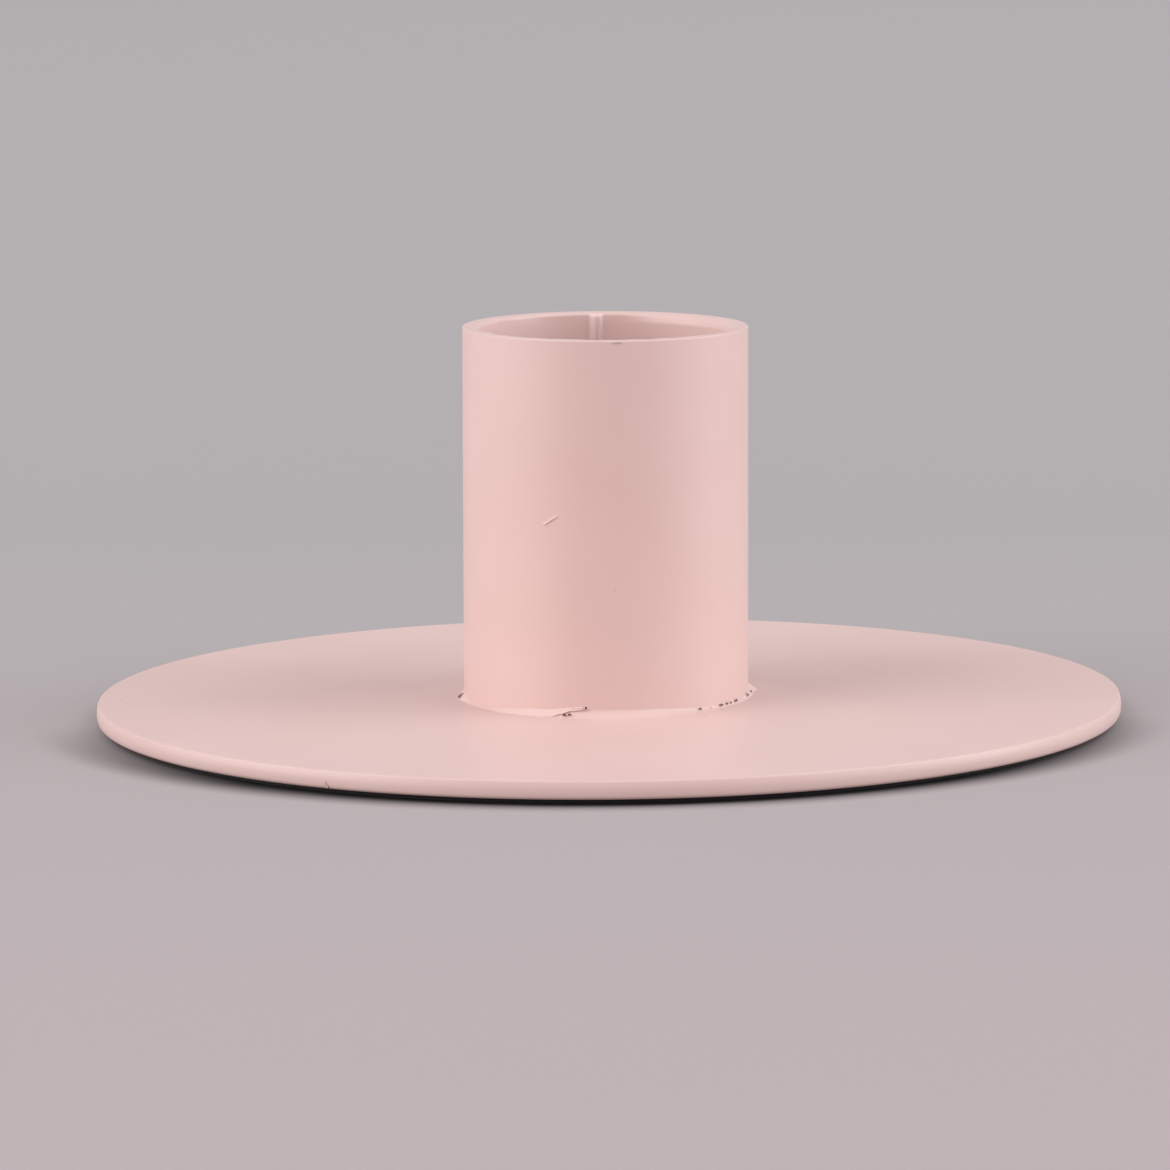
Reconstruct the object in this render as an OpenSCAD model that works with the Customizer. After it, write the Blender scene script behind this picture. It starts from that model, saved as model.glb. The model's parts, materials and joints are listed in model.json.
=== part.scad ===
// Candle holder: a short steel tube, stitch-welded upright on a flat steel disc and powder coated,
// with a thin pad stuck under the disc so that the steel never touches the table.
// Millimetres, +Z up. The origin is on the table, on the tube's axis. The front is -Y.

/* [Base disc] */
// Diameter of the disc
disc_d = 90; // [60:1:140]
// Thickness of the disc
disc_t = 1.5; // [1:0.1:4]
// Radius that rounds the disc's top and bottom edges
disc_edge_r = 0.4; // [0.1:0.05:0.45]

/* [Candle tube] */
// Outer diameter of the tube
tube_d = 25; // [18:0.5:40]
// Wall of the tube
tube_wall = 1.5; // [1:0.1:3]
// Length of the tube, from the disc to the rim
tube_len = 32.5; // [20:0.5:80]
// Radius that rounds the rim's outer edge
rim_outer_r = 0.15; // [0.05:0.05:0.4]
// Radius that rounds the rim's inner edge
rim_inner_r = 0.3; // [0.05:0.05:0.5]

/* [Seam inside the tube] */
// Width of the weld seam that runs down the tube's inside
seam_w = 1.2; // [0.8:0.1:2]
// Height that the seam stands proud of the bore
seam_h = 0.14; // [0.08:0.02:0.2]
// Where the seam is round the tube, in degrees from +X
seam_at = 94; // [0:1:359]

/* [Weld stitches at the tube's foot] */
// Leg of a plain stitch, up the tube and out along the disc
weld_leg = 0.6; // [0.3:0.05:1.2]
// How far a stitch bulges: 0 is a full quarter circle, and a high value is nearly flat
weld_flatness_share = 0.5; // [0:0.1:3]

/* [Pad under the disc] */
// Thickness of the pad
pad_t = 0.5; // [0.3:0.1:3]
// Thickness of the pad's adhesive film
adhesive_t = 0.1; // [0.05:0.05:0.3]
// How far the pad stays inside the disc's edge
pad_inset = 1.5; // [1:0.5:10]

/* [Hidden] */

$fn = 180;
coat = [0.89, 0.71, 0.69];
felt = [0.09, 0.08, 0.09];
film = [0.85, 0.84, 0.78];

disc_r = disc_d / 2;
tube_r = tube_d / 2;
bore_r = tube_r - tube_wall;
pad_r = disc_r - pad_inset;

// Heights of the stack, from the table up
disc_z = pad_t + adhesive_t;
foot_z = disc_z + disc_t;

// Each stitch runs anticlockwise between two angles, in degrees from +X, and has its own share of
// the plain leg
weld_left_span = [174, 260];
weld_left_leg_share = 1;
weld_front_span = [262, 348];
weld_front_leg_share = 0.75;
weld_right_span = [352, 392];
weld_right_leg_share = 1.6;
weld_rear_span = [62, 141];
weld_rear_leg_share = 1.1;

// The seam is two ridges side by side, each as wide as this share of the whole
seam_ridge_share = 0.56;
// Slope of a stitch's ends, in degrees from upright
weld_end_slope = 50;
// Spare length for a cut to run past a face
overrun = 1;

module base_disc()
    color(coat)
        translate([0, 0, disc_z])
            rotate_extrude()
                disc_profile();

// Half section of the disc: flat, with both edges rounded
module disc_profile() {
    edge = min(disc_edge_r, disc_t / 2);
    inner_r = disc_r - edge;
    square([inner_r, disc_t]);
    translate([0, edge])
        square([disc_r, disc_t - 2 * edge]);
    for (z = [edge, disc_t - edge])
        translate([inner_r, z])
            circle(edge);
}

module candle_tube()
    color(coat)
        translate([0, 0, foot_z])
            rotate_extrude()
                tube_profile();

// Section of the tube's wall: square at the foot, rounded on both edges of the rim
module tube_profile() {
    translate([bore_r, 0])
        square([rim_inner_r, tube_len - rim_inner_r]);
    translate([bore_r + rim_inner_r, 0])
        square([tube_wall - rim_inner_r - rim_outer_r, tube_len]);
    translate([tube_r - rim_outer_r, 0])
        square([rim_outer_r, tube_len - rim_outer_r]);
    translate([bore_r + rim_inner_r, tube_len - rim_inner_r])
        circle(rim_inner_r);
    translate([tube_r - rim_outer_r, tube_len - rim_outer_r])
        circle(rim_outer_r);
}

// Two ridges of weld metal down the bore, stopping where the rim's rounding begins
module tube_seam() {
    ridge_w = seam_w * seam_ridge_share;
    ridge_r = ridge_w * ridge_w / (8 * seam_h) + seam_h / 2;
    ridge_angle = asin((seam_w - ridge_w) / 2 / bore_r);
    ridge_len = tube_len - rim_inner_r;
    color(coat)
        translate([0, 0, foot_z])
            intersection() {
                cylinder(h = ridge_len, r = bore_r);
                for (side = [-1, 1])
                    rotate(seam_at + side * ridge_angle)
                        translate([bore_r - seam_h + ridge_r, 0, 0])
                            cylinder(h = ridge_len, r = ridge_r);
            }
}

// Section of a stitch in the corner at [0, 0], between the tube's wall and the disc
module weld_profile(leg) {
    back = weld_flatness_share * leg;
    bulge_r = norm([leg + back, back]);
    intersection() {
        square([leg, leg]);
        translate([-back, -back])
            circle(bulge_r);
    }
}

// One stitch: the section swept round the foot, with both ends sloped down to the disc
module weld_stitch(span, leg) {
    color(coat)
        translate([0, 0, foot_z])
            difference() {
                rotate(span[0])
                    rotate_extrude(angle = span[1] - span[0])
                        translate([tube_r, 0])
                            weld_profile(leg);
                for (side = [0, 1])
                    rotate(span[side])
                        mirror([0, side, 0])
                            translate([tube_r - overrun, 0, 0])
                                rotate([-weld_end_slope, 0, 0])
                                    translate([0, -overrun - leg, -overrun])
                                        cube([leg + 2 * overrun, overrun + leg, 2 * overrun + 2 * leg]);
            }
}

module weld_left()
    weld_stitch(weld_left_span, weld_leg * weld_left_leg_share);

module weld_front()
    weld_stitch(weld_front_span, weld_leg * weld_front_leg_share);

module weld_right()
    weld_stitch(weld_right_span, weld_leg * weld_right_leg_share);

module weld_rear()
    weld_stitch(weld_rear_span, weld_leg * weld_rear_leg_share);

module pad_adhesive()
    color(film)
        translate([0, 0, pad_t])
            cylinder(h = adhesive_t, r = pad_r);

module base_pad()
    color(felt)
        cylinder(h = pad_t, r = pad_r);

base_disc();
candle_tube();
tube_seam();
weld_left();
weld_front();
weld_right();
weld_rear();
pad_adhesive();
base_pad();
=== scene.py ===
"""Candle holder: a short steel tube welded upright on a round steel disc, coated in satin pink
powder, with a felt pad under the disc. Metres, +Z up, the front is -Y."""

import json
import math
import random

import bmesh
import bpy
from mathutils import Matrix, Vector, noise


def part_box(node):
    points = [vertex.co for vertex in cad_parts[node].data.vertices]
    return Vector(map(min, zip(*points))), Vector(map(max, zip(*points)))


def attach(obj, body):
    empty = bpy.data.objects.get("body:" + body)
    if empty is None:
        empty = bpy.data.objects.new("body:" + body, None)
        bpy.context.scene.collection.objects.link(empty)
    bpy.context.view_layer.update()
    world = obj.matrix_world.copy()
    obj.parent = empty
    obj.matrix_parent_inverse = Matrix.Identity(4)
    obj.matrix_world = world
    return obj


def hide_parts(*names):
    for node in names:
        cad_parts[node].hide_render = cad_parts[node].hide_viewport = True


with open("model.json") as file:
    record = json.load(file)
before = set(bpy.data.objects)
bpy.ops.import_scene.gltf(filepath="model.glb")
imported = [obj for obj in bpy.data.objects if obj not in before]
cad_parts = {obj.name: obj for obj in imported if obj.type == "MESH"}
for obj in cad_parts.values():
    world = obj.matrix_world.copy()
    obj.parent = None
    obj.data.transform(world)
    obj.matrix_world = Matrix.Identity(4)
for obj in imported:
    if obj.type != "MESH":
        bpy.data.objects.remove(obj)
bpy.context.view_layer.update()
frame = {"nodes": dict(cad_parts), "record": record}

MM = 0.001
BODY = "root"
AXES = 3
DOUBLES = 0.001 * MM  # points nearer than this are one point


# Sizes, read from the frame

disc_low, disc_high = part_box("base_disc")
_, tube_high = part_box("candle_tube")
_, pad_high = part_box("base_pad")
mounts = {mount["name"]: mount for mount in frame["record"]["mounts"]}

DISC_R = disc_high.x
DISC_UNDER = disc_low.z
DISC_TOP = disc_high.z
TUBE_R = tube_high.x
RIM = tube_high.z
BORE_R = mounts["candle_socket"]["dims"]["r_mm"] * MM
PAD_R = pad_high.x
PAD_TOP = pad_high.z


# Sizes that only the finish needs

DISC_UPPER_EDGE = 0.12 * MM
DISC_LOWER_EDGE = 0.35 * MM
DISC_CROWN = (18.0, -12.0)  # the cut side is a little round: its slope at the top and bottom, in degrees
DISC_BUILD = 0.07 * MM  # the coat is this much thicker where it gathers on the disc's lower edge
RIM_BUILD = 0.16 * MM  # and on the tube's rim
RIM_TOP = RIM + RIM_BUILD
RIM_OUTER_EDGE = 0.1 * MM
RIM_INNER_EDGE = 0.28 * MM
NEAR_RIM = 0.9 * MM  # the tube's outline is cut finer this far down from its rim
SUNK = 0.1 * MM  # how deep a piece reaches into the steel that it is welded to
PAD_EDGE = 0.12 * MM
PAD_MARGIN = 0.2 * MM  # the coat under the disc starts to thicken this far outside the pad
PAD_SWELL = 0.02 * MM
PAD_FOOT = 0.013 * MM  # the swelling takes the pad's lowest fibres down from here to the table

# The tube was set by eye: it leans by this many degrees, and its foot is a hair off the disc's middle
LEAN_ASIDE = 0.42
LEAN_BACK = 0.34
LEAN = (Matrix.Translation((0, 0, RIM)) @ Matrix.Rotation(math.radians(LEAN_ASIDE), 4, "Y")
        @ Matrix.Rotation(math.radians(-LEAN_BACK), 4, "X") @ Matrix.Translation((0, 0, -RIM)))
FOOT = Vector((0, 0, DISC_TOP))
FOOT_SHIFT = Matrix.Translation(LEAN @ FOOT - FOOT)


# Helpers for node trees

def node(tree, kind, inputs=None, **settings):
    """Adds a node, sets its properties, and links or sets its inputs by name or number."""
    made = tree.nodes.new(kind)
    for name, value in settings.items():
        setattr(made, name, value)
    for name, value in (inputs or {}).items():
        if isinstance(value, bpy.types.NodeSocket):
            tree.links.new(value, made.inputs[name])
        else:
            made.inputs[name].default_value = value
    return made


def maths(tree, operation, *terms):
    """One Math node in a shader or geometry tree, and its result."""
    return node(tree, "ShaderNodeMath", dict(enumerate(terms)), operation=operation).outputs[0]


def vectors(tree, operation, *terms, **more):
    """One Vector Math node, and its result."""
    inputs = {**dict(enumerate(terms)), **more}
    made = node(tree, "ShaderNodeVectorMath", inputs, operation=operation)
    return made.outputs["Value" if operation in ("LENGTH", "DISTANCE") else "Vector"]


def waves_of(tree, size, detail, **inputs):
    """Noise between 0 and 1, in a shader or geometry tree, whose waves are as long as size."""
    inputs = {"Scale": maths(tree, "DIVIDE", 1.0, size), "Detail": detail, **inputs}
    return node(tree, "ShaderNodeTexNoise", inputs).outputs[0]


def centred(tree, value):
    """A value between 0 and 1, spread to lie between -1 and 1."""
    return maths(tree, "MULTIPLY_ADD", value, 2.0, -1.0)


def new_tree(name, kind, inputs, outputs):
    """A node group with named sockets: (name, type, value) for inputs and (name, type) for outputs."""
    tree = bpy.data.node_groups.new(name, kind)
    for label, form, *value in inputs:
        socket = tree.interface.new_socket(name=label, in_out="INPUT", socket_type="NodeSocket" + form)
        if value:
            socket.default_value = value[0]
    for label, form in outputs:
        tree.interface.new_socket(name=label, in_out="OUTPUT", socket_type="NodeSocket" + form)
    return tree, tree.nodes.new("NodeGroupInput").outputs


def put_out(tree, **results):
    """Links each result to the group output of that name, with spaces for underscores."""
    end = tree.nodes.new("NodeGroupOutput")
    for name, socket in results.items():
        tree.links.new(socket, end.inputs[name.replace("_", " ")])


# Outlines, paths and points that the trees read

CLOSE = 0.04 * MM  # a straight stretch has a point this near to each end, so that it is shaded flat


def arc(centre, radius, start, end, steps):
    """Points on an arc, with its angles in degrees."""
    points = []
    for step in range(steps + 1):
        angle = math.radians(start + (end - start) * step / steps)
        points.append((centre[0] + radius * math.cos(angle), centre[1] + radius * math.sin(angle)))
    return points


def stretch(start, end, steps):
    """Evenly spaced points after start and before end, with one more close to each end."""
    close = CLOSE / math.dist(start, end)
    shares = [close] + [step / steps for step in range(1, steps)] + [1 - close]
    return [(start[0] + (end[0] - start[0]) * share, start[1] + (end[1] - start[1]) * share)
            for share in shares]


def helper(name, points, edges=(), **attributes):
    """A mesh that a tree reads and that is deleted afterwards, with a value of each attribute for
    every point."""
    points = [(*point, 0.0) if len(point) < AXES else point for point in points]
    mesh = bpy.data.meshes.new(name)
    mesh.from_pydata(points, edges, [])
    for label, values in attributes.items():
        if isinstance(values[0], tuple):
            kind, field = "FLOAT_VECTOR", "vector"
            values = [part for value in values for part in value]
        else:
            kind, field = "FLOAT", "value"
        mesh.attributes.new(label, kind, "POINT").data.foreach_set(field, values)
    made = bpy.data.objects.new(name, mesh)
    bpy.context.scene.collection.objects.link(made)
    return made


def wire(name, points, closed=False, **attributes):
    """A helper whose points are joined in a row."""
    edges = [(i, i + 1) for i in range(len(points) - 1)]
    if closed:
        edges.append((len(points) - 1, 0))
    return helper(name, points, edges, **attributes)


def grown(name, tree, material, helpers=(), turn=None, **inputs):
    """Runs a Geometry Nodes tree and keeps its result as a plain mesh, with its faces outwards."""
    piece = bpy.data.objects.new(name, bpy.data.meshes.new(name))
    bpy.context.scene.collection.objects.link(piece)
    modifier = piece.modifiers.new("shape", "NODES")
    modifier.node_group = tree
    values = {label.replace("_", " "): value for label, value in inputs.items()}
    values["Material"] = material
    for socket in tree.interface.items_tree:
        if socket.in_out == "INPUT" and socket.name in values:
            modifier[socket.identifier] = values[socket.name]
    shaped = piece.evaluated_get(bpy.context.evaluated_depsgraph_get())
    mesh = bpy.data.meshes.new_from_object(shaped)
    piece.modifiers.remove(modifier)
    piece.data = mesh
    mesh.name = name
    mesh.materials.clear()
    mesh.materials.append(material)
    for made in helpers:
        bpy.data.objects.remove(made)
    if turn:
        mesh.transform(turn)
    outwards(mesh)
    return piece


def outwards(mesh):
    """Merges doubles and turns every face of a closed mesh outwards."""
    work = bmesh.new()
    work.from_mesh(mesh)
    bmesh.ops.remove_doubles(work, verts=work.verts, dist=DOUBLES)
    bmesh.ops.recalc_face_normals(work, faces=work.faces)
    work.to_mesh(mesh)
    work.free()


# Geometry Nodes: parts that several trees share

PIT_EDGE_SHARE = 1.15  # a pinhole's slope begins at this share of its radius
PIT_FLOOR_SHARE = 0.45  # and ends at this one
PIT_DEPTH_SHARE = 1.2  # how deep it is for its radius
DOME_SIDES = 12
DOME_RINGS = 8
DOME_SHARE = 0.2  # how tall a nib is for its width, with half of it under the surface


def read_helper(tree, source, as_curve=True):
    """A helper object's points, as a curve or as they are."""
    shape = node(tree, "GeometryNodeObjectInfo", {"Object": source}).outputs["Geometry"]
    return node(tree, "GeometryNodeMeshToCurve", {"Mesh": shape}).outputs["Curve"] if as_curve else shape


def attribute(tree, name, kind="FLOAT"):
    """What each point carries under this name."""
    made = node(tree, "GeometryNodeInputNamedAttribute", {"Name": name}, data_type=kind)
    return made.outputs["Attribute"]


def moved_out(tree, geometry, distance):
    """Moves each point along its normal."""
    normal = node(tree, "GeometryNodeInputNormal").outputs[0]
    move = vectors(tree, "SCALE", normal, Scale=distance)
    return node(tree, "GeometryNodeSetPosition", {"Geometry": geometry, "Offset": move}).outputs[0]


def swollen(tree, geometry, amount, size):
    """Moves each point along its normal by up to amount, in soft lumps of the given size."""
    lumps = centred(tree, waves_of(tree, size, 1.0))
    return moved_out(tree, geometry, maths(tree, "MULTIPLY", lumps, amount))


def sampled(tree, points, value, index, kind="FLOAT"):
    """A value of the point with this index."""
    return node(tree, "GeometryNodeSampleIndex", {"Geometry": points, "Value": value, "Index": index},
                data_type=kind).outputs[0]


def pitted(tree, geometry, pits):
    """Presses a pinhole into the surface at each point of pits, as wide as the point's own width, and marks
    how dark it is in the attribute that the coat reads: painted shade in the hole."""
    place = node(tree, "GeometryNodeInputPosition").outputs[0]
    nearest = node(tree, "GeometryNodeSampleNearest",
                   {"Geometry": pits, "Sample Position": place}).outputs[0]
    centre = sampled(tree, pits, place, nearest, "FLOAT_VECTOR")
    width = sampled(tree, pits, attribute(tree, "width"), nearest)
    darkness = sampled(tree, pits, attribute(tree, "dark"), nearest)
    number = node(tree, "GeometryNodeAttributeDomainSize", {"Geometry": pits}).outputs["Point Count"]
    radius = maths(tree, "MAXIMUM", maths(tree, "MULTIPLY", width, 0.5), DOUBLES)
    off = maths(tree, "DIVIDE", vectors(tree, "DISTANCE", place, centre), radius)
    inside = node(tree, "ShaderNodeMapRange",
                  {"Value": off, "From Min": PIT_EDGE_SHARE, "From Max": PIT_FLOOR_SHARE},
                  interpolation_type="SMOOTHSTEP").outputs[0]
    inside = maths(tree, "MULTIPLY", inside, maths(tree, "MINIMUM", number, 1.0))
    dark = maths(tree, "MULTIPLY", inside, darkness)
    geometry = node(tree, "GeometryNodeStoreNamedAttribute",
                    {"Geometry": geometry, "Name": "pore", "Value": dark}).outputs[0]
    depth = maths(tree, "MULTIPLY", maths(tree, "MULTIPLY", dark, radius), -PIT_DEPTH_SHARE)
    return moved_out(tree, geometry, depth)


def with_nibs(tree, geometry, nibs):
    """Sets a low dome on each point of nibs, as wide as the point's width, along its facing."""
    dome = node(tree, "GeometryNodeMeshUVSphere",
                {"Segments": DOME_SIDES, "Rings": DOME_RINGS, "Radius": 0.5}).outputs["Mesh"]
    dome = node(tree, "GeometryNodeTransform",
                {"Geometry": dome, "Scale": (1.0, 1.0, DOME_SHARE)}).outputs[0]
    facing = node(tree, "FunctionNodeAlignRotationToVector",
                  {"Vector": attribute(tree, "facing", "FLOAT_VECTOR")}, axis="Z").outputs[0]
    placed = node(tree, "GeometryNodeInstanceOnPoints",
                  {"Points": nibs, "Instance": dome, "Rotation": facing,
                   "Scale": attribute(tree, "width")}).outputs[0]
    joined = node(tree, "GeometryNodeJoinGeometry", {"Geometry": geometry})
    tree.links.new(placed, joined.inputs["Geometry"])
    return joined.outputs[0]


def finish_tree(tree, geometry, material):
    """Ends a tree: smooth shading, real instances and the material."""
    geometry = node(tree, "GeometryNodeRealizeInstances", {"Geometry": geometry}).outputs[0]
    geometry = node(tree, "GeometryNodeSetShadeSmooth", {"Geometry": geometry}).outputs[0]
    geometry = node(tree, "GeometryNodeSetMaterial",
                    {"Geometry": geometry, "Material": material}).outputs[0]
    put_out(tree, Mesh=geometry)


# Geometry Nodes: an outline turned round the Z axis

def turning_tree():
    """Turns an outline, with x outwards and y up, into a ring whose surface swells a little."""
    tree, given = new_tree(
        "turned piece", "GeometryNodeTree",
        [("Outline", "Object"), ("Radius", "Float", 0.01), ("Segments", "Int", 256),
         ("Swell", "Float", 0.0), ("Swell Size", "Float", 0.01), ("Pits", "Object"), ("Nibs", "Object"),
         ("Material", "Material")],
        [("Mesh", "Geometry")])
    line = read_helper(tree, given["Outline"])
    inwards = node(tree, "ShaderNodeCombineXYZ", {"X": maths(tree, "MULTIPLY", given["Radius"], -1.0)})
    line = node(tree, "GeometryNodeTransform",
                {"Geometry": line, "Translation": inwards.outputs[0]}).outputs[0]
    line = node(tree, "GeometryNodeTransform",
                {"Geometry": line, "Scale": (1.0, -1.0, 1.0)}).outputs[0]
    ring = node(tree, "GeometryNodeCurvePrimitiveCircle",
                {"Resolution": given["Segments"], "Radius": given["Radius"]}).outputs["Curve"]
    ring = node(tree, "GeometryNodeSetCurveNormal", {"Curve": ring}, mode="Z_UP").outputs[0]
    shell = node(tree, "GeometryNodeCurveToMesh", {"Curve": ring, "Profile Curve": line}).outputs[0]
    shell = node(tree, "GeometryNodeMergeByDistance", {"Geometry": shell, "Distance": DOUBLES}).outputs[0]
    shell = swollen(tree, shell, given["Swell"], given["Swell Size"])
    shell = pitted(tree, shell, read_helper(tree, given["Pits"], as_curve=False))
    shell = with_nibs(tree, shell, read_helper(tree, given["Nibs"], as_curve=False))
    finish_tree(tree, shell, given["Material"])
    return tree


# Geometry Nodes: a weld bead round the tube's foot

BEAD_END_SHARE = 0.01  # how much of its section is left at a bead's very end


def weld_tree():
    """Sweeps a section round the tube's foot. Each point of the path says how far the bead climbs
    the tube there (rise), how far it runs out on the disc (reach) and how far it is off it (lift)."""
    tree, given = new_tree(
        "weld bead", "GeometryNodeTree",
        [("Path", "Object"), ("Section", "Object"), ("Pits", "Object"), ("Foot Radius", "Float", 0.01),
         ("Foot Height", "Float", 0.0), ("End Length", "Float", 0.001), ("Ripple Pitch", "Float", 0.001),
         ("Ripple Share", "Float", 0.0), ("Uneven Share", "Float", 0.0), ("Uneven Length", "Float", 0.01),
         ("Swell", "Float", 0.0), ("Swell Size", "Float", 0.001), ("Seed", "Float", 0.0),
         ("Material", "Material")],
        [("Mesh", "Geometry")])
    path = read_helper(tree, given["Path"])
    path = node(tree, "GeometryNodeSetCurveNormal", {"Curve": path}, mode="Z_UP").outputs[0]
    section = read_helper(tree, given["Section"])

    # Both ends of the bead taper off in a round
    along = node(tree, "GeometryNodeSplineParameter").outputs["Length"]
    whole = node(tree, "GeometryNodeSplineLength").outputs["Length"]
    left = maths(tree, "SUBTRACT", whole, along)
    nearest = maths(tree, "DIVIDE", maths(tree, "MINIMUM", along, left), given["End Length"])
    inset = maths(tree, "SUBTRACT", 1.0, maths(tree, "MINIMUM", nearest, 1.0))
    taper = maths(tree, "SUBTRACT", 1 + BEAD_END_SHARE ** 2, maths(tree, "MULTIPLY", inset, inset))
    taper = maths(tree, "SQRT", taper)

    # Its section ripples and drifts in size on the way
    turns = maths(tree, "MULTIPLY", maths(tree, "DIVIDE", along, given["Ripple Pitch"]), math.tau)
    ripple = maths(tree, "MULTIPLY", maths(tree, "SINE", turns), given["Ripple Share"])
    run = maths(tree, "ADD", maths(tree, "DIVIDE", along, given["Uneven Length"]), given["Seed"])
    drift = node(tree, "ShaderNodeTexNoise", {"W": run, "Scale": 1.0, "Detail": 2.0},
                 noise_dimensions="1D").outputs[0]
    drift = maths(tree, "MULTIPLY", centred(tree, drift), given["Uneven Share"])
    share = maths(tree, "ADD", 1.0, maths(tree, "ADD", ripple, drift))

    bead = node(tree, "GeometryNodeCurveToMesh",
                {"Curve": path, "Profile Curve": section, "Scale": maths(tree, "MULTIPLY", share, taper),
                 "Fill Caps": True}).outputs[0]

    # Each point moves out by the reach and up by the rise and the lift
    place = node(tree, "GeometryNodeInputPosition").outputs[0]
    across = vectors(tree, "MULTIPLY", place, (1.0, 1.0, 0.0))
    height = node(tree, "ShaderNodeSeparateXYZ", {"Vector": place}).outputs["Z"]
    out = maths(tree, "SUBTRACT", vectors(tree, "LENGTH", across), given["Foot Radius"])
    out = maths(tree, "MULTIPLY_ADD", out, attribute(tree, "reach"), given["Foot Radius"])
    up = maths(tree, "SUBTRACT", height, given["Foot Height"])
    up = maths(tree, "MULTIPLY_ADD", up, attribute(tree, "rise"), given["Foot Height"])
    up = maths(tree, "ADD", up, attribute(tree, "lift"))
    up = node(tree, "ShaderNodeCombineXYZ", {"Z": up}).outputs[0]
    place = vectors(tree, "ADD", vectors(tree, "SCALE", vectors(tree, "NORMALIZE", across), Scale=out), up)
    bead = node(tree, "GeometryNodeSetPosition", {"Geometry": bead, "Position": place}).outputs[0]

    bead = swollen(tree, bead, given["Swell"], given["Swell Size"])
    bead = pitted(tree, bead, read_helper(tree, given["Pits"], as_curve=False))
    finish_tree(tree, bead, given["Material"])
    return tree


# Shader groups that several materials share

PIGMENT_WAVES = 60.0  # soft changes of shade in a metre
SPECK_EDGE_SHARE = 0.18  # how far a dust speck reaches, as a share of its cell
SPECK_HEART_SHARE = 0.05  # and how far its full mark does
DUST_BEGINS = 0.5  # a face holds dust from here on, where 0 is upright and 1 is level
DUST_STAYS = 0.9  # and all of it from here on


def soft_grain_group():
    """Height of a fine grain, made of waves and smaller dimples, and soft broad changes of shade."""
    tree, given = new_tree(
        "soft grain", "ShaderNodeTree",
        [("Wave Size", "Float", 0.001), ("Dimple Size", "Float", 0.0002), ("Dimple Share", "Float", 0.3)],
        [("Height", "Float"), ("Shade", "Float")])
    place = node(tree, "ShaderNodeTexCoord").outputs["Object"]
    waves = waves_of(tree, given["Wave Size"], 2.0, Vector=place)
    dimples = waves_of(tree, given["Dimple Size"], 1.0, Vector=place)
    height = maths(tree, "ADD", waves, maths(tree, "MULTIPLY", dimples, given["Dimple Share"]))
    shade = node(tree, "ShaderNodeTexNoise",
                 {"Vector": place, "Scale": PIGMENT_WAVES, "Detail": 3.0, "Roughness": 0.6}).outputs[0]
    put_out(tree, Height=height, Shade=shade)
    return tree


def settled_dust_group():
    """A mask of sparse pale dust specks, only on faces that look up."""
    tree, given = new_tree(
        "settled dust", "ShaderNodeTree",
        [("Speck Size", "Float", 0.0004), ("Amount", "Float", 0.1)], [("Mask", "Float")])
    place = node(tree, "ShaderNodeTexCoord").outputs["Object"]
    cells = node(tree, "ShaderNodeTexVoronoi",
                 {"Vector": place, "Scale": maths(tree, "DIVIDE", 1.0, given["Speck Size"])})
    close = node(tree, "ShaderNodeMapRange",
                 {"Value": cells.outputs["Distance"], "From Min": SPECK_EDGE_SHARE,
                  "From Max": SPECK_HEART_SHARE}).outputs[0]
    rare = node(tree, "ShaderNodeSeparateColor", {"Color": cells.outputs["Color"]}).outputs["Red"]
    rare = maths(tree, "GREATER_THAN", rare, maths(tree, "SUBTRACT", 1.0, given["Amount"]))
    normal = node(tree, "ShaderNodeNewGeometry").outputs["Normal"]
    up = node(tree, "ShaderNodeSeparateXYZ", {"Vector": normal}).outputs["Z"]
    up = node(tree, "ShaderNodeMapRange",
              {"Value": up, "From Min": DUST_BEGINS, "From Max": DUST_STAYS}).outputs[0]
    put_out(tree, Mask=maths(tree, "MULTIPLY", maths(tree, "MULTIPLY", close, rare), up))
    return tree


# Materials

def blank_material(name):
    """A new material, its tree and its shader."""
    material = bpy.data.materials.new(name)
    material.use_nodes = True
    tree = material.node_tree
    shader = tree.nodes["Principled BSDF"]
    return material, tree, shader


def group(tree, shared, **values):
    """Places a shared group in a material, with its own values."""
    made = node(tree, "ShaderNodeGroup", node_tree=shared)
    for name, value in values.items():
        made.inputs[name.replace("_", " ")].default_value = value
    return made.outputs


def blended(tree, share, first, second):
    """A colour between two others."""
    made = node(tree, "ShaderNodeMix", {"Factor": share}, data_type="RGBA")
    for name, value in (("A", first), ("B", second)):
        socket = next(s for s in made.inputs if s.name == name and s.type == "RGBA")
        if isinstance(value, bpy.types.NodeSocket):
            tree.links.new(value, socket)
        else:
            socket.default_value = (*value, 1.0)
    return next(s for s in made.outputs if s.type == "RGBA")


def surface(tree, shader, colour, height, depth):
    """Gives a shader its colour and the bump of a height pattern as deep as depth."""
    bump = node(tree, "ShaderNodeBump", {"Height": height, "Distance": depth})
    tree.links.new(colour, shader.inputs["Base Color"])
    tree.links.new(bump.outputs[0], shader.inputs["Normal"])


COAT_DEEP = (0.701, 0.484, 0.455)
COAT = (0.747, 0.538, 0.509)
COAT_PALE = (0.820, 0.660, 0.640)
COAT_ROUGHNESS = (0.36, 0.44)
COAT_IOR = 1.5
PEEL_DEPTH = 0.004 * MM
# near black: rusty steel with painted shade in pinholes, painted shade in a crease and a nick, and dirt in
# specks under the coat
RUST_AND_SHADE = (0.045, 0.020, 0.022)
FELT_DEEP = (0.014, 0.012, 0.014)
FELT = (0.062, 0.054, 0.060)
FELT_FIBRES = 9000.0  # in a metre
FELT_ROUGHNESS = 0.95
FELT_SHEEN = 0.15
FELT_DEPTH = 0.03 * MM
FILM_DEEP = (0.55, 0.52, 0.44)
FILM = (0.68, 0.66, 0.58)
FILM_ROUGHNESS = 0.5
FILM_DEPTH = 0.01 * MM


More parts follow.
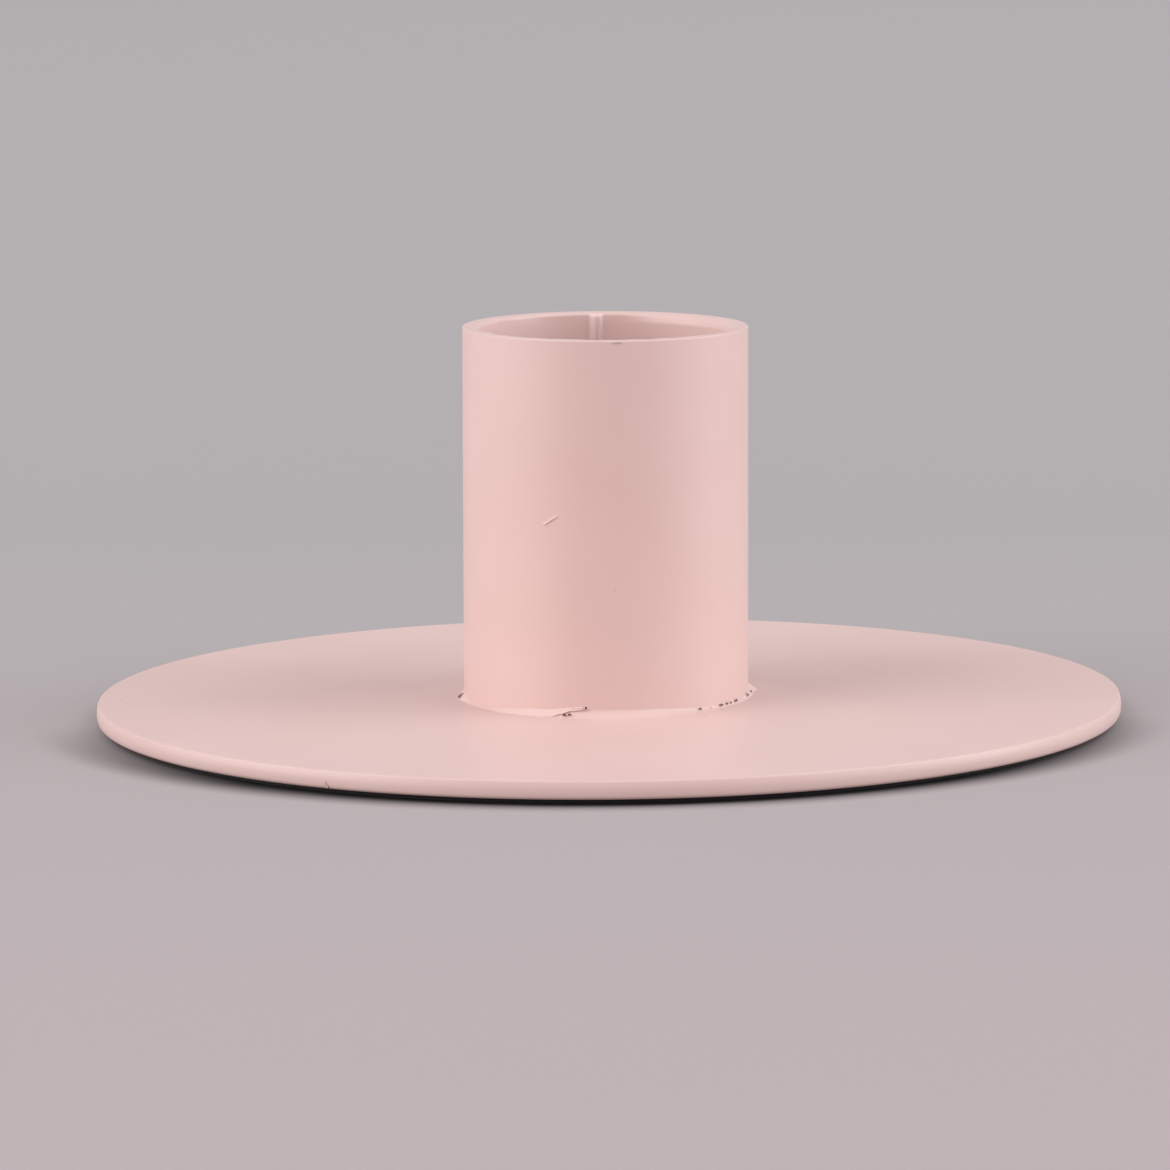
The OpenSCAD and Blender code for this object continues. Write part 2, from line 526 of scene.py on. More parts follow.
def powder_coat(name, grain, dust, paler=0.0):
    """Satin pink powder coat: faint orange peel, slightly uneven pigment, a few dust specks, and a near black
    where an attribute says so: rusty steel with painted shade in pinholes, painted shade in a crease and a
    nick, and dirt in dark specks under the coat. It can be paler by a share."""
    material, tree, shader = blank_material(name)
    peel = group(tree, grain, Wave_Size=0.9 * MM, Dimple_Size=0.16 * MM, Dimple_Share=0.25)
    specks = group(tree, dust, Speck_Size=1.6 * MM, Amount=0.02)
    deep, even = (tuple(part + (pale - part) * paler for part, pale in zip(colour, COAT_PALE))
                  for colour in (COAT_DEEP, COAT))
    colour = blended(tree, peel["Shade"], deep, even)
    colour = blended(tree, specks["Mask"], colour, COAT_PALE)
    pore = node(tree, "ShaderNodeAttribute", attribute_name="pore").outputs["Fac"]
    colour = blended(tree, pore, colour, RUST_AND_SHADE)
    surface(tree, shader, colour, peel["Height"], PEEL_DEPTH)
    smooth, rough = COAT_ROUGHNESS
    roughness = node(tree, "ShaderNodeMapRange",
                     {"Value": peel["Shade"], "To Min": smooth, "To Max": rough}).outputs[0]
    roughness = maths(tree, "MAXIMUM", roughness, pore)
    tree.links.new(roughness, shader.inputs["Roughness"])
    shader.inputs["IOR"].default_value = COAT_IOR
    return material


def felt(name, grain):
    """Black pressed felt: matted fibres with a faint sheen."""
    material, tree, shader = blank_material(name)
    mat = group(tree, grain, Wave_Size=0.35 * MM, Dimple_Size=0.06 * MM, Dimple_Share=0.8)
    fibres = node(tree, "ShaderNodeTexNoise",
                  {"Vector": node(tree, "ShaderNodeTexCoord").outputs["Object"],
                   "Scale": FELT_FIBRES, "Detail": 2.0, "Distortion": 2.5}).outputs[0]
    surface(tree, shader, blended(tree, fibres, FELT_DEEP, FELT), mat["Height"], FELT_DEPTH)
    shader.inputs["Roughness"].default_value = FELT_ROUGHNESS
    shader.inputs["Sheen Weight"].default_value = FELT_SHEEN
    return material


def glue_film(name, grain):
    """The pad's adhesive film: cloudy, slightly yellow."""
    material, tree, shader = blank_material(name)
    clouds = group(tree, grain, Wave_Size=2.0 * MM, Dimple_Size=0.3 * MM, Dimple_Share=0.4)
    surface(tree, shader, blended(tree, clouds["Shade"], FILM_DEEP, FILM), clouds["Height"], FILM_DEPTH)
    shader.inputs["Roughness"].default_value = FILM_ROUGHNESS
    return material


# Turned pieces, and how many steps their outlines are cut into

DISC_TOP_STEPS = 56
DISC_UPPER_EDGE_STEPS = 6
DISC_SIDE_STEPS = 14
DISC_LOWER_EDGE_STEPS = 7
DISC_MARGIN_STEPS = 6
DISC_BACK_STEPS = 24
TUBE_WALL_STEPS = 40
TUBE_NEAR_RIM_STEPS = 8
RIM_OUTER_EDGE_STEPS = 7
RIM_TOP_STEPS = 8
RIM_INNER_EDGE_STEPS = 8
BORE_NEAR_RIM_STEPS = 3
PAD_TOP_STEPS = 30
PAD_EDGE_STEPS = 4
PAD_BACK_STEPS = 40


def disc_outline():
    """Half section of the disc, from the middle of its top round the edge to the middle below. The
    side is an arc that runs smoothly into the arcs of its two edges."""
    upper_slope, lower_slope = (math.radians(angle) for angle in DISC_CROWN)
    bottom = DISC_UNDER - DISC_BUILD
    upper_z = DISC_TOP - DISC_UPPER_EDGE
    lower_z = bottom + DISC_LOWER_EDGE
    rise = DISC_UPPER_EDGE * math.sin(upper_slope) - DISC_LOWER_EDGE * math.sin(lower_slope)
    crown = (upper_z - lower_z + rise) / (math.sin(upper_slope) - math.sin(lower_slope))
    middle = (DISC_R - crown, upper_z - (crown - DISC_UPPER_EDGE) * math.sin(upper_slope))
    upper = (middle[0] + (crown - DISC_UPPER_EDGE) * math.cos(upper_slope), upper_z)
    lower = (middle[0] + (crown - DISC_LOWER_EDGE) * math.cos(lower_slope), lower_z)
    bare = (PAD_R + PAD_MARGIN, DISC_UNDER)
    top = stretch((0, DISC_TOP), (upper[0], DISC_TOP), DISC_TOP_STEPS)
    side = arc(upper, DISC_UPPER_EDGE, 90, DISC_CROWN[0], DISC_UPPER_EDGE_STEPS)
    side += arc(middle, crown, *DISC_CROWN, DISC_SIDE_STEPS)[1:-1]
    side += arc(lower, DISC_LOWER_EDGE, DISC_CROWN[1], -90, DISC_LOWER_EDGE_STEPS)
    under = stretch((lower[0], bottom), bare, DISC_MARGIN_STEPS) + [bare]
    under += stretch(bare, (0, DISC_UNDER), DISC_BACK_STEPS)
    return [(0, DISC_TOP)] + top + side + under + [(0, DISC_UNDER)]


def tube_outline():
    """Section of the tube's wall: outside from the foot, over the rim and down the bore."""
    foot = DISC_TOP - SUNK
    outer = (TUBE_R - RIM_OUTER_EDGE, RIM_TOP - RIM_OUTER_EDGE)
    inner = (BORE_R + RIM_INNER_EDGE, RIM_TOP - RIM_INNER_EDGE)
    near_rim = RIM_TOP - NEAR_RIM
    outside = [(TUBE_R, foot)] + stretch((TUBE_R, foot), (TUBE_R, near_rim), TUBE_WALL_STEPS)
    outside += stretch((TUBE_R, near_rim), (TUBE_R, outer[1]), TUBE_NEAR_RIM_STEPS)
    rim = arc(outer, RIM_OUTER_EDGE, 0, 90, RIM_OUTER_EDGE_STEPS)
    rim += stretch((outer[0], RIM_TOP), (inner[0], RIM_TOP), RIM_TOP_STEPS)
    rim += arc(inner, RIM_INNER_EDGE, 90, 180, RIM_INNER_EDGE_STEPS)
    bore = stretch((BORE_R, inner[1]), (BORE_R, near_rim), BORE_NEAR_RIM_STEPS)
    bore += stretch((BORE_R, near_rim), (BORE_R, foot), TUBE_WALL_STEPS)
    return outside + rim + bore + [(BORE_R, foot)]


def pad_outline():
    """Half section of the felt pad, with soft cut edges."""
    inner = PAD_R - PAD_EDGE
    top = stretch((0, PAD_TOP), (inner, PAD_TOP), PAD_TOP_STEPS)
    edge = arc((inner, PAD_TOP - PAD_EDGE), PAD_EDGE, 90, 0, PAD_EDGE_STEPS)
    edge += arc((inner, PAD_FOOT + PAD_EDGE), PAD_EDGE, 0, -90, PAD_EDGE_STEPS)
    back = stretch((inner, PAD_FOOT), (0, PAD_FOOT), PAD_BACK_STEPS)
    return [(0, PAD_TOP)] + top + edge + back + [(0, PAD_FOOT)]


# What is cut or laid by hand round the tube

def eased(course, angle):
    """The values of a course at an angle, turned smoothly from one of its rows to the next."""
    for (start, *before), (end, *after) in zip(course, course[1:]):
        if angle <= end:
            share = (angle - start) / (end - start)
            share = share * share * (3 - 2 * share)
            return [low + (high - low) * share for low, high in zip(before, after)]
    return course[-1][1:]


# How much the hand tool took off the rim's inner edge, in millimetres at an angle in degrees
DEBURR = [(0, 0.16), (25, 0.24), (47, 0.24), (66, 0.15), (84, 0.05), (105, 0.02), (140, 0.02),
          (165, 0.07), (185, 0.08), (225, 0.03), (270, 0.02), (315, 0.04), (360, 0.16)]
DEBURR_REACH = 0.8 * MM  # how far from the edge the cut fades out
DEBURR_WAVE = 0.09 * MM  # how much more or less the tool takes off where the hand wavers
DEBURR_WAVES = 6.0  # wavers in the length of the rim's radius
DEBURR_SEED = 4.0


def deburr(mesh):
    """Cuts the tube's inner rim edge back by hand: unevenly round the rim."""
    for point in mesh.vertices:
        radius = math.hypot(point.co.x, point.co.y)
        near = 1 - math.dist((radius, point.co.z), (BORE_R, RIM_TOP)) / DEBURR_REACH
        if near <= 0 or radius > TUBE_R - RIM_OUTER_EDGE:
            continue
        around = Vector((point.co.x, point.co.y, 0)) / radius
        wave = noise.noise(around * DEBURR_WAVES + Vector((0, 0, DEBURR_SEED)))
        angle = math.degrees(math.atan2(around.y, around.x)) % 360
        cut = max(0.0, eased(DEBURR, angle)[0] * MM + DEBURR_WAVE * wave) * near
        point.co += around * cut - Vector((0, 0, cut))


# Marks in the coat: places given one by one, in millimetres and in degrees anticlockwise from +X

def on_disc(x, y):
    """A place on the disc's top, and the way that it faces."""
    return (x * MM, y * MM, DISC_TOP), (0.0, 0.0, 1.0)


def round_at(radius, angle, height):
    """A place on an upright round wall, and the way that it faces."""
    outward = (math.cos(math.radians(angle)), math.sin(math.radians(angle)), 0.0)
    return (radius * outward[0], radius * outward[1], height), outward


def on_tube(angle, above):
    """A place on the tube, this far above the disc's top."""
    return round_at(TUBE_R, angle, DISC_TOP + above * MM)


def on_side(angle, below):
    """A place on the disc's side, this far below its top."""
    return round_at(DISC_R, angle, DISC_TOP - below * MM)


def tilted(mark, up):
    """The same place on a wall, facing up by a share as well as outwards."""
    place, facing = mark
    return place, (facing[0], facing[1], up)


def scratch(start, step, dots, width, dark, up=0.0):
    """A row of dots on the tube: the first dot's angle and height, and the step to the next one."""
    places = [on_tube(start[0] + dot * step[0], start[1] + dot * step[1]) for dot in range(dots)]
    return [(tilted(place, up), width, dark) for place in places]


def marks(name, rows):
    """A helper of points: a place with its facing, a width in millimetres and how dark it is."""
    shades = [dark for _, _, dark in rows]
    return helper(name, [place for (place, _), _, _ in rows], width=[width * MM for _, width, _ in rows],
                  facing=[facing for (_, facing), _, _ in rows], dark=shades, pore=shades)


FAINT = 0.09  # how dark a speck under the coat shows

# Specks on the disc, and a run of them down its side
DISC_NIBS = [
    (on_disc(-42.9, -0.5), 0.4, FAINT), (on_disc(-42.4, -2.3), 0.4, FAINT), (on_disc(-43.2, -1.9), 0.25, 0.0),
    (on_disc(-35.5, -0.5), 0.3, FAINT), (on_disc(-38.0, -12.2), 0.25, FAINT),
    (on_disc(-31.0, -12.7), 0.3, FAINT), (on_disc(21.6, -6.2), 0.3, FAINT),
    (on_disc(22.6, -6.2), 0.25, FAINT), (on_disc(35.2, 5.6), 0.3, FAINT), (on_disc(42.3, -12.0), 0.3, FAINT),
    (on_disc(-22.2, 16.6), 0.35, 0.0), (on_disc(-14.5, -26.9), 0.3, 0.0), (on_disc(-23.8, -32.3), 0.4, 0.0),
    (on_disc(8.4, -12.05), 0.26, 0.35), (on_disc(7.66, -13.8), 0.2, FAINT),
    (on_side(238.4, 0.92), 0.16, 0.25), (on_side(238.35, 1.05), 0.24, 0.35), (on_side(238.4, 1.2), 0.3, 0.35),
    (on_side(238.5, 1.34), 0.3, 0.3),
]
# A scratch and specks on the tube, and a nick in the outer edge of its rim
TUBE_SCRATCH = scratch((245.1, 16.75), (0.52, 0.075), 10, 0.32, 0.0, up=0.55)
TUBE_NIBS = TUBE_SCRATCH + [
    (on_tube(181.5, 12.1), 0.3, 0.0), (on_tube(181.6, 12.35), 0.22, 0.0), (on_tube(273.8, 11.1), 0.25, FAINT),
]
# the nick's darkness is painted shade in it
RIM_NICK = scratch((273.3, 32.5), (0.7, 0.0), 5, 0.24, 0.3)

# Specks on the rear half of the disc, which are drawn at random
REAR_NIBS = 14
REAR_NIB_SEED = 5
REAR_NIB_WIDTHS = (0.1, 0.22)
REAR_NIB_AREA_SHARES = (0.15, 0.95)  # of the disc's area: they lie between two rings
REAR_NIB_DARKS = (0.0, 0.0, FAINT)


def rear_nibs():
    """Faint nibs that dust leaves in a fresh coat."""
    draw = random.Random(REAR_NIB_SEED)
    rows = []
    for _ in range(REAR_NIBS):
        radius = DISC_R / MM * math.sqrt(draw.uniform(*REAR_NIB_AREA_SHARES))
        angle = draw.uniform(0, math.pi)
        place = on_disc(radius * math.cos(angle), radius * math.sin(angle))
        rows.append((place, draw.uniform(*REAR_NIB_WIDTHS), draw.choice(REAR_NIB_DARKS)))
    return rows


# Welds

SECTION_STEPS = 30
SECTION_BACK = 0.15 * MM  # how deep a bead's section reaches into the disc and the tube
TOE_DEGREES = 6.0  # how fast the drawn-out toe fades, on the section's quarter turn
TOE_DEPTH = 0.02 * MM  # how far under the surface a toe ends


def weld_section(foot, crest, toe_share):
    """Section of a bead with legs of 1 mm in the corner at (0, 0), with y down. Its foot on the disc
    and its crest on the tube are flat at 1, hollow below and full above. The coat draws both toes
    out by toe_share, and they end just under the surface."""
    points = []
    for step in range(SECTION_STEPS + 1):
        angle = 90 * step / SECTION_STEPS
        across = math.cos(math.radians(angle)) ** 2
        toes = math.exp(-angle / TOE_DEGREES) + math.exp((angle - 90) / TOE_DEGREES)
        spread = 1 + toe_share * toes
        points.append((spread * across ** (1 / crest) * MM - TOE_DEPTH,
                       TOE_DEPTH - spread * (1 - across) ** (1 / foot) * MM))
    back = [(-SECTION_BACK, points[-1][1]), (-SECTION_BACK, SECTION_BACK), (points[0][0], SECTION_BACK)]
    return points + back


# A stitch's course: angle in degrees, then its rise up the tube, its reach out on the disc and its
# lift off the disc in millimetres. The left stitch climbs over the start of the front one.
LEFT_COURSE = [(174, 0.50, 0.40, 0.0), (182, 0.62, 0.62, 0.0), (189, 0.58, 0.66, 0.0),
               (196, 0.16, 0.26, 0.0), (206, 0.09, 0.14, 0.0), (214, 0.10, 0.16, 0.0),
               (223, 0.28, 0.32, 0.0), (231, 0.46, 0.46, 0.0), (238, 0.56, 0.54, 0.0),
               (244, 0.58, 0.52, 0.0), (248, 0.52, 0.38, 0.10), (252, 0.40, 0.25, 0.36),
               (256, 0.27, 0.16, 0.62), (262, 0.18, 0.12, 0.76), (264, 0.12, 0.08, 0.80)]
FRONT_COURSE = [(241, 0.25, 0.40, 0.0), (248, 0.46, 0.66, 0.0), (253, 0.70, 0.92, 0.0),
                (258, 0.84, 1.10, 0.0), (264, 0.82, 1.10, 0.0), (288, 0.76, 1.10, 0.0),
                (297, 0.63, 1.00, 0.0), (306, 0.50, 0.85, 0.0), (313, 0.36, 0.60, 0.0),
                (322, 0.32, 0.45, 0.0), (335, 0.32, 0.42, 0.0), (352, 0.36, 0.42, 0.0)]
RIGHT_COURSE = [(350, 0.42, 0.36, 0.0), (358, 0.50, 0.38, 0.0), (364, 0.68, 0.60, 0.0),
                (370, 0.90, 1.05, 0.0), (378, 0.92, 1.22, 0.0), (386, 0.80, 0.95, 0.0),
                (392, 0.70, 0.70, 0.0)]
REAR_COURSE = [(62, 0.60, 0.60, 0.0), (80, 0.75, 0.70, 0.0), (100, 0.62, 0.66, 0.0),
               (122, 0.78, 0.72, 0.0), (141, 0.60, 0.62, 0.0)]

# Pinholes in a stitch, and on the left one a row of painted shade in a crease: angle, height above the disc,
# width and darkness
LEFT_HOLES = [(186.5, 0.14, 0.30, 1.0), (188.7, 0.16, 0.30, 1.0), (186.7, 0.27, 0.30, 1.0),
              (188.5, 0.30, 0.30, 1.0), (187.5, 0.42, 0.28, 1.0), (187.5, 0.51, 0.20, 0.8),
              # from 257 to 261 degrees: painted shade in the crease under the left stitch's lifted end; at
              # 262 a pinhole
              (257.0, 0.77, 0.14, 0.3), (258.0, 0.78, 0.14, 0.3), (259.0, 0.79, 0.14, 0.3),
              (260.0, 0.80, 0.14, 0.4), (261.0, 0.82, 0.16, 0.6), (262.0, 0.84, 0.28, 1.0)]
FRONT_HOLES = [(253.7, 0.18, 0.42, 1.0), (255.9, 0.21, 0.42, 1.0), (309.8, 0.19, 0.36, 1.0),
               (310.7, 0.20, 0.24, 0.8), (316.3, 0.18, 0.26, 0.35), (322.0, 0.20, 0.32, 1.0),
               (323.2, 0.21, 0.32, 1.0), (326.6, 0.21, 0.34, 1.0), (329.6, 0.21, 0.30, 1.0),
               (333.4, 0.23, 0.32, 1.0), (334.8, 0.24, 0.32, 1.0), (339.8, 0.24, 0.26, 0.4),
               (348.3, 0.22, 0.48, 1.0)]
RIGHT_HOLES = [(358.0, 0.22, 0.36, 0.9)]
REAR_HOLES = [(88.0, 0.30, 0.22, 0.8), (117.0, 0.25, 0.20, 0.8)]
HIGHEST_HOLE_SHARE = 0.95  # of the bead's rise, so that a hole stays on the bead


def on_bead(course, foot, crest, angle, height):
    """A place on a bead's face at a height above the disc."""
    rise, reach, lift = eased(course, angle)
    level = min(max(height - lift, 0.0) / rise, HIGHEST_HOLE_SHARE) ** foot
    return round_at(TUBE_R + reach * (1 - level) ** (1 / crest) * MM, angle, DISC_TOP + height * MM)


COURSE_STEP = 0.18  # degrees


def stitch(tree, coat, name, cad_node, course, holes, foot, crest, toe_share, rough, seed):
    """One weld stitch, swept along its course round the tube's foot. Rough is how uneven it is."""
    start, end = course[0][0], course[-1][0]
    steps = math.ceil((end - start) / COURSE_STEP)
    angles = [start + (end - start) * step / steps for step in range(steps + 1)]
    legs = [eased(course, angle) for angle in angles]
    path = wire("path", [round_at(TUBE_R, angle, DISC_TOP)[0] for angle in angles],
                rise=[rise for rise, _, _ in legs], reach=[reach for _, reach, _ in legs],
                lift=[lift * MM for _, _, lift in legs])
    section = wire("section", weld_section(foot, crest, toe_share), closed=True)
    pits = marks("pits", [(on_bead(course, foot, crest, angle, height), width, dark)
                          for angle, height, width, dark in holes])
    made = grown(name, tree, coat, [path, section, pits], FOOT_SHIFT,
                 Path=path, Section=section, Pits=pits, Foot_Radius=TUBE_R, Foot_Height=DISC_TOP,
                 End_Length=0.7 * MM, Ripple_Pitch=0.8 * MM, Ripple_Share=0.03 * rough,
                 Uneven_Share=0.12 * rough, Uneven_Length=3 * MM,
                 Swell=0.015 * rough * MM, Swell_Size=0.6 * MM, Seed=seed)
    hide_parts(cad_node)
    return made


# The seam down the bore

SEAM_AT = 94.0  # degrees
SEAM_HALF = 0.75 * MM  # half its width
SEAM_COLUMNS = 40
SEAM_ROWS = 130
SEAM_ROW_POWER = 0.7  # the rows lie closer together towards the rim
SEAM_TOP = RIM_TOP - 0.1 * MM
SEAM_FADE = 0.2 * MM  # how far below its top it begins to run out
SEAM_TOE = 0.01 * MM  # where it has no height it lies this deep in the wall

# Each ridge: its place across the seam, half its width, its height and a seed
RIDGES = [(0.25 * MM, 0.23 * MM, 0.26 * MM, 2.0), (-0.25 * MM, 0.19 * MM, 0.20 * MM, 7.0)]
RIDGE_SWELL_SHARE = 0.35  # how much wider and taller or narrower and lower it gets
WANDER = 0.05 * MM  # how far it strays to either side
WANDER_PITCH = 2.2 * MM  # how long its bends and swellings are


def seam_height(across, height):
    """How far the seam stands off the bore at a place on it."""
    total = 0.0
    for place, half, proud, seed in RIDGES:
        wave = noise.noise((0, seed, height / WANDER_PITCH))
        swell = 1 + RIDGE_SWELL_SHARE * noise.noise((seed, 0, height / WANDER_PITCH))
        off = (across - place - WANDER * wave) / (half * swell)
        total += proud * swell * math.exp(-off * off)
    edge = min(1.0, (SEAM_TOP - height) / SEAM_FADE)
    return total * math.sqrt(max(0.0, 1 - (1 - edge) ** 2))


def seam_mesh():
    """The seam as a closed shell: rings up the bore, each with a front and a back."""
    rings = []
    for row in range(SEAM_ROWS + 1):
        height = DISC_TOP + (SEAM_TOP - DISC_TOP) * (row / SEAM_ROWS) ** SEAM_ROW_POWER
        ring = []
        for column in range(SEAM_COLUMNS + 1):
            across = SEAM_HALF * (2 * column / SEAM_COLUMNS - 1)
            angle = SEAM_AT + math.degrees(across / BORE_R)
            ring.append(round_at(BORE_R + SEAM_TOE - seam_height(across, height), angle, height)[0])
        for across in (SEAM_HALF, -SEAM_HALF):
            ring.append(round_at(BORE_R + SUNK, SEAM_AT + math.degrees(across / BORE_R), height)[0])
        rings.append(ring)
    work = bmesh.new()
    loops = [[work.verts.new(point) for point in ring] for ring in rings]
    for low, high in zip(loops, loops[1:]):
        for i in range(len(low)):
            work.faces.new((low[i - 1], low[i], high[i], high[i - 1]))
    work.faces.new(loops[0])
    work.faces.new(loops[-1])
    for face in work.faces:
        face.smooth = True
    mesh = bpy.data.meshes.new("bore_seam")
    work.to_mesh(mesh)
    work.free()
    mesh.transform(LEAN)
    outwards(mesh)
    return mesh


# Camera, at the photograph's viewing angle

PHOTO_PIXELS = 1170
FOCAL_PIXELS = 7739.1
SENSOR_WIDTH = 36.0
SIGHT = 20.0  # how far the camera sees, in metres
CAMERA_BACK = 672.65 * MM
CAMERA_UP = DISC_TOP + 108.44 * MM

# Where the camera looks, in degrees: down from level, to the left, and its roll
CAMERA_DOWN = 8.345
CAMERA_TURN = 0.17
CAMERA_ROLL = -0.58


def place_camera():
    """The camera that frames the object as the photograph does."""
    lens = bpy.data.cameras.new("camera")
    lens.sensor_width = SENSOR_WIDTH
    lens.lens = SENSOR_WIDTH * FOCAL_PIXELS / PHOTO_PIXELS
    lens.clip_end = SIGHT
    camera = bpy.data.objects.new("camera", lens)
    bpy.context.scene.collection.objects.link(camera)
    turn = Matrix.Rotation(math.radians(CAMERA_TURN), 4, "Z")
    tilt = Matrix.Rotation(math.radians(90 - CAMERA_DOWN), 4, "X")
    roll = Matrix.Rotation(math.radians(CAMERA_ROLL), 4, "Z")
    camera.matrix_world = Matrix.Translation((0, -CAMERA_BACK, CAMERA_UP)) @ turn @ tilt @ roll
    bpy.context.scene.camera = camera


# Floor, world and lights

FLOOR_R = 4.0
FLOOR_SIDES = 128
FLOOR_ROUGHNESS = 0.85

# Distance behind the object's middle in metres, and the paper's colour there, with painted light in it:
# warmer in front and paler far behind
FLOOR_SHADES = [(-0.15, (0.432, 0.365, 0.378)), (0.12, (0.392, 0.366, 0.374)),
                (0.40, (0.456, 0.428, 0.433)), (0.86, (0.581, 0.545, 0.553))]

# Painted shadow: an oval of the paper is darkened in its colour close round the front of the disc, standing
# in for the disc's shade
SHADE_MIDDLE = (-0.6 * MM, 0.0, 0.0)
SHADE_HALF = (49.7 * MM, 46.5 * MM)  # half its width and depth
SHADE_FULL_SHARE = 0.92  # of the oval, where the shade begins to fade
SHADE_END_SHARE = 1.03  # of the oval, where it has gone
SHADE_LEVEL = 0.1  # how much of its colour the paper keeps in the shade
SHADE_BEGINS = -1 * MM  # how far to the front the shade begins
SHADE_DEEPEST = -32 * MM  # and how far to the front it is full


def floor_material():
    """Grey paper whose colour holds painted light, a little warmer in front of the object and paler far
    behind it, and a painted shadow close round the disc."""
    material, tree, shader = blank_material("grey paper")
    place = node(tree, "ShaderNodeTexCoord").outputs["Object"]
    depth = node(tree, "ShaderNodeSeparateXYZ", {"Vector": place}).outputs["Y"]
    oval = vectors(tree, "MULTIPLY", vectors(tree, "SUBTRACT", place, SHADE_MIDDLE),
                   (1 / SHADE_HALF[0], 1 / SHADE_HALF[1], 0.0))
    shade = node(tree, "ShaderNodeMapRange",
                 {"Value": vectors(tree, "LENGTH", oval), "From Min": SHADE_FULL_SHARE,
                  "From Max": SHADE_END_SHARE, "To Min": SHADE_LEVEL - 1, "To Max": 0.0},
                 interpolation_type="SMOOTHSTEP").outputs[0]
    front = node(tree, "ShaderNodeMapRange",
                 {"Value": depth, "From Min": SHADE_BEGINS, "From Max": SHADE_DEEPEST}).outputs[0]
    shade = maths(tree, "MULTIPLY_ADD", shade, front, 1.0)
    start, end = FLOOR_SHADES[0][0], FLOOR_SHADES[-1][0]
    depth = node(tree, "ShaderNodeMapRange",
                 {"Value": depth, "From Min": start, "From Max": end}).outputs[0]
    ramp = node(tree, "ShaderNodeValToRGB", {"Fac": depth})
    stops = ramp.color_ramp.elements
    while len(stops) < len(FLOOR_SHADES):
        stops.new(0.5)
    for stop, (distance, colour) in zip(stops, FLOOR_SHADES):
        stop.position = (distance - start) / (end - start)
        stop.color = (*colour, 1.0)
    colour = vectors(tree, "SCALE", ramp.outputs["Color"], Scale=shade)
    tree.links.new(colour, shader.inputs["Base Color"])
    shader.inputs["Roughness"].default_value = FLOOR_ROUGHNESS
    return material


def lay_floor():
    """A round sheet of paper under the object."""
    work = bmesh.new()
    bmesh.ops.create_circle(work, cap_ends=True, segments=FLOOR_SIDES, radius=FLOOR_R)
    mesh = bpy.data.meshes.new("floor")
    work.to_mesh(mesh)
    work.free()
    mesh.materials.append(floor_material())
    floor = bpy.data.objects.new("floor", mesh)
    bpy.context.scene.collection.objects.link(floor)


COOL = (0.92, 0.99, 1.00)
WARM = (1.00, 0.95, 0.89)
PLAIN = (1.00, 1.00, 1.00)

# name: azimuth from the camera towards +X and height in degrees, watts and colour
LIGHTS = {
    "left low box": (-60, 12, 4.40, WARM),
    "right low box": (60, 12, 1.90, WARM),
    "left strip": (-90, 12, 3.18, COOL),
    "right strip": (90, 12, 5.62, COOL),
    "left high strip": (-90, 45, 1.34, COOL),
    "right high strip": (90, 45, 2.12, COOL),
    "left softbox": (-60, 45, 3.74, PLAIN),
    "right softbox": (60, 45, 2.80, PLAIN),
}
LIGHT_DISTANCE = 1.2
LIGHT_SIZE = 0.7

WORLD = (0.515, 0.502, 0.513)


def hang_lights():
    """The studio's lights, all aimed at the object, and the even light round them."""
    for name, (azimuth, height, watts, colour) in LIGHTS.items():
        light = bpy.data.lights.new(name, "AREA")
        light.shape = "SQUARE"
        light.size = LIGHT_SIZE
        light.energy = watts
        light.color = colour
        lamp = bpy.data.objects.new(name, light)
        bpy.context.scene.collection.objects.link(lamp)
        turn = Matrix.Rotation(math.radians(azimuth), 4, "Z")
        tilt = Matrix.Rotation(math.radians(90 - height), 4, "X")
        lamp.matrix_world = turn @ tilt @ Matrix.Translation((0, 0, LIGHT_DISTANCE))
    world = bpy.data.worlds.new("studio")
    world.use_nodes = True
    world.node_tree.nodes["Background"].inputs["Color"].default_value = (*WORLD, 1.0)
    bpy.context.scene.world = world


# Build: camera, shared groups, materials and trees first, then the pieces and the studio

place_camera()
grain = soft_grain_group()
dust = settled_dust_group()
coat = powder_coat("powder coat", grain, dust)
turning = turning_tree()
welding = weld_tree()

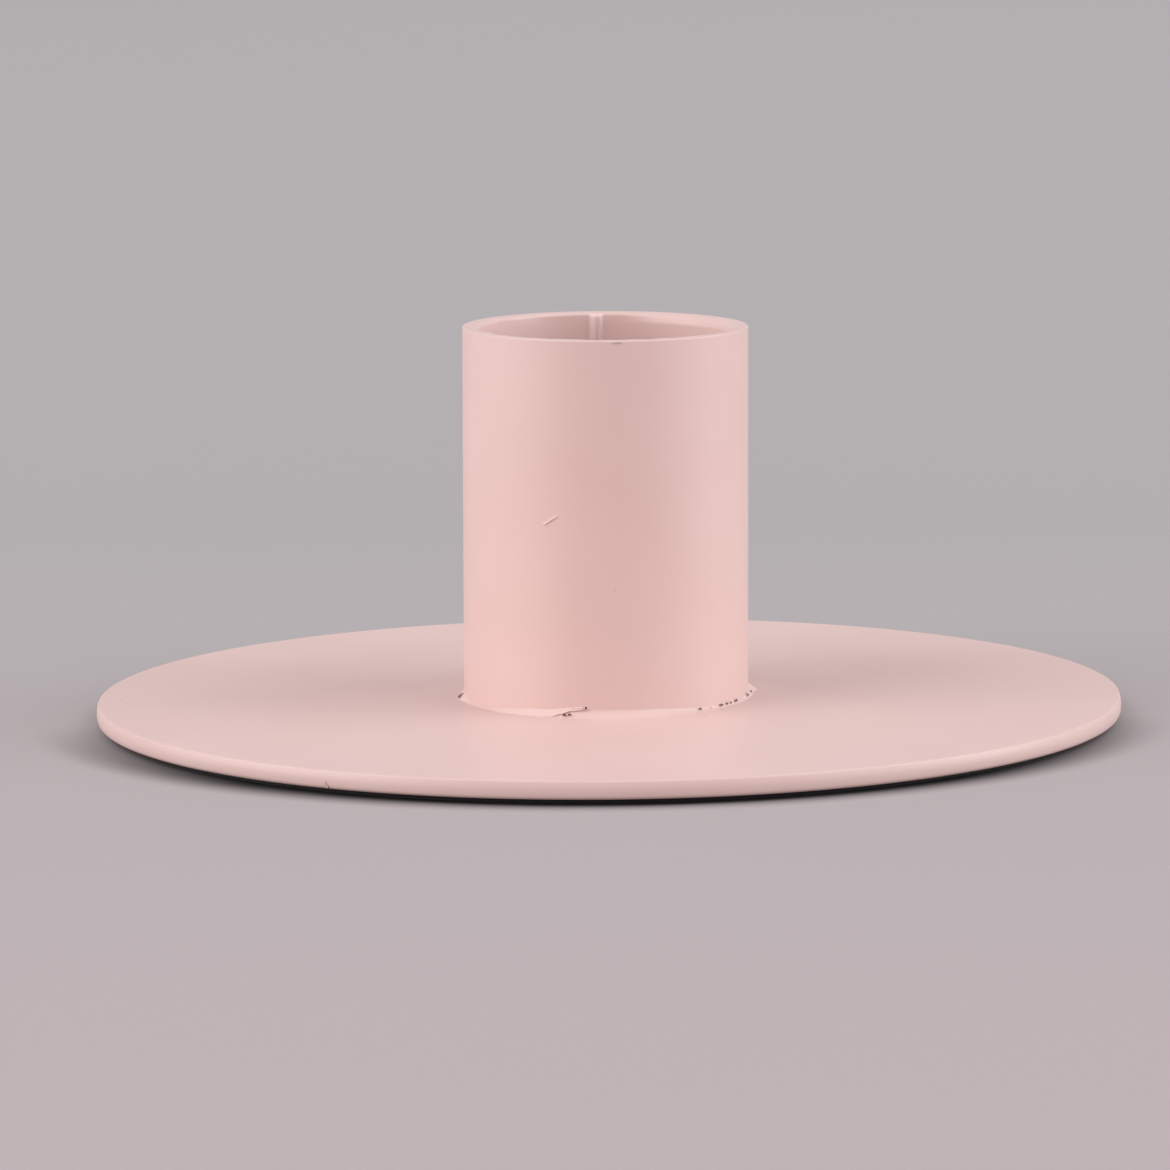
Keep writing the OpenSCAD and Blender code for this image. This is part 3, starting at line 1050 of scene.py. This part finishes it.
outline = wire("disc outline", disc_outline())
nibs = marks("disc nibs", DISC_NIBS + rear_nibs())
disc = grown("coated_disc", turning, coat, [outline, nibs], Outline=outline, Radius=DISC_R,
             Segments=640, Swell=0.01 * MM, Swell_Size=18 * MM, Nibs=nibs)
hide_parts("base_disc")

outline = wire("tube outline", tube_outline(), closed=True)
nibs = marks("tube nibs", TUBE_NIBS)
nick = marks("rim nick", RIM_NICK)
tube = grown("coated_tube", turning, coat, [outline, nibs, nick], Outline=outline, Radius=TUBE_R,
             Segments=480, Swell=0.01 * MM, Swell_Size=9 * MM, Pits=nick, Nibs=nibs)
deburr(tube.data)
tube.data.transform(LEAN)
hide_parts("candle_tube")

seam = bpy.data.objects.new("bore_seam", seam_mesh())
bpy.context.scene.collection.objects.link(seam)
# the seam's coat is painted paler: a painted highlight on its ridges
seam.data.materials.append(powder_coat("powder coat on the seam", grain, dust, paler=0.5))
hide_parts("tube_seam")

stitches = [
    stitch(welding, coat, "left_stitch", "weld_left", LEFT_COURSE, LEFT_HOLES,
           foot=0.58, crest=1.5, toe_share=0.1, rough=0.4, seed=3.0),
    stitch(welding, coat, "front_stitch", "weld_front", FRONT_COURSE, FRONT_HOLES,
           foot=0.62, crest=0.62, toe_share=0.1, rough=0.2, seed=8.0),
    stitch(welding, coat, "right_stitch", "weld_right", RIGHT_COURSE, RIGHT_HOLES,
           foot=0.85, crest=1.0, toe_share=0.1, rough=0.8, seed=14.0),
    stitch(welding, coat, "rear_stitch", "weld_rear", REAR_COURSE, REAR_HOLES,
           foot=1.05, crest=1.05, toe_share=0.25, rough=1.0, seed=21.0),
]

outline = wire("pad outline", pad_outline())
pad = grown("felt_pad", turning, felt("black felt", grain), [outline], Outline=outline, Radius=PAD_R,
            Segments=480, Swell=PAD_SWELL, Swell_Size=1 * MM)
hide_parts("base_pad")

for piece in (disc, tube, seam, *stitches, pad):
    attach(piece, BODY)

film = frame["nodes"]["pad_adhesive"].data
film.materials.clear()
film.materials.append(glue_film("glue film", grain))
lay_floor()
hang_lights()
bpy.context.scene.view_settings.view_transform = "Standard"
